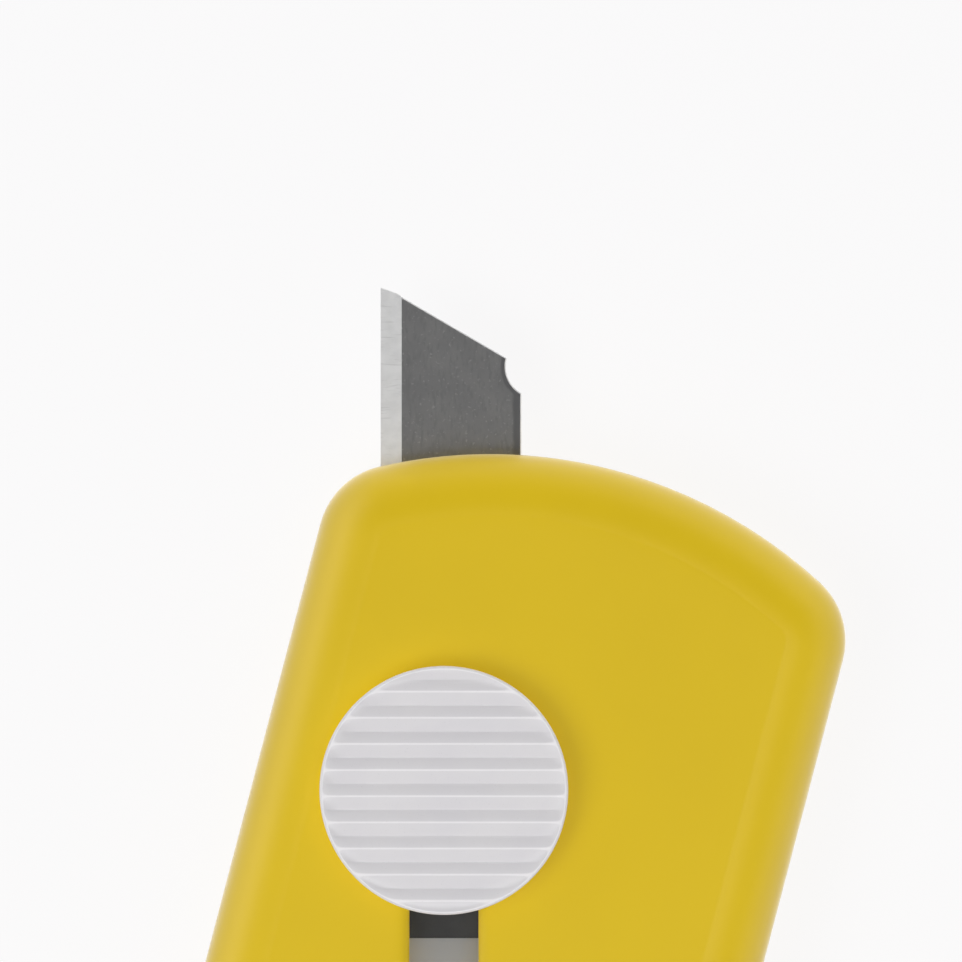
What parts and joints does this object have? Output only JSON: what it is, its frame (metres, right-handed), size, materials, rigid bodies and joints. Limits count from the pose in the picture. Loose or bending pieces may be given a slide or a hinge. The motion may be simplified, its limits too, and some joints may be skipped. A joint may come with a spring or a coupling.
{
  "type": "utility knife",
  "caption": "Pocket utility knife: flat rounded two-shell handle with a ribbed round thumb button that slides a narrow blade out of a slanted mouth.",
  "frame": {"origin": "middle of the handle's outline, on its flat back face", "axes": "+Y the way the blade slides out, +Z out of the face with the thumb button, +X to the right with the button towards the viewer and the blade up"},
  "size_m": [0.0474, 0.0804, 0.0115],
  "materials": {
    "shell_plastic": "satin moulded yellow plastic",
    "button_plastic": "satin moulded light grey plastic",
    "inner_plastic": "plain moulded natural acetal",
    "carrier_plastic": "plain moulded dark plastic",
    "cap_plastic": "fine-grained dark grey plastic",
    "blade_steel": "dull rolled flat with a bright ground bevel",
    "sheet_steel": "rolled stainless sheet",
    "spring_steel": "bright drawn spring steel",
    "screw_steel": "zinc-plated",
    "magnet_nickel": "nickel-plated",
    "eyelet_nickel": "nickel-plated rolled tube",
    "rivet_brass": "turned brass",
    "bumper_rubber": "moulded black rubber"
  },
  "bodies": {
    "handle": {"front_shell": "shell_plastic", "back_shell": "shell_plastic", "blade_channel": "sheet_steel", "lock_plate": "sheet_steel", "mouth_guide": "inner_plastic", "stop_bumper": "bumper_rubber", "magnet": "magnet_nickel", "magnet_cup": "magnet_nickel", "magnet_cap": "cap_plastic", "lanyard_eyelet": "eyelet_nickel", "shell_screws": "screw_steel", "thread_inserts": "rivet_brass"},
    "carriage": {"blade_carrier": "carrier_plastic", "blade": "blade_steel", "lock_leaf": "spring_steel", "leaf_rivets": "rivet_brass", "button_springs": "spring_steel"},
    "button": {"thumb_button": "button_plastic", "button_foot": "inner_plastic", "button_screw": "screw_steel"}
  },
  "joints": [
    {"name": "blade_slide", "type": "slide", "parent": "handle", "child": "carriage", "axis": [0, 1, 0], "range_m": [-0.013, 0]},
    {"name": "button_press", "type": "slide", "parent": "carriage", "child": "button", "axis": [0, 0, 1], "range_m": [-0.00055, 0], "stiffness_N_per_m": 2500, "springref_m": 0.0004, "deforming": ["button_springs", "lock_leaf"]}
  ]
}
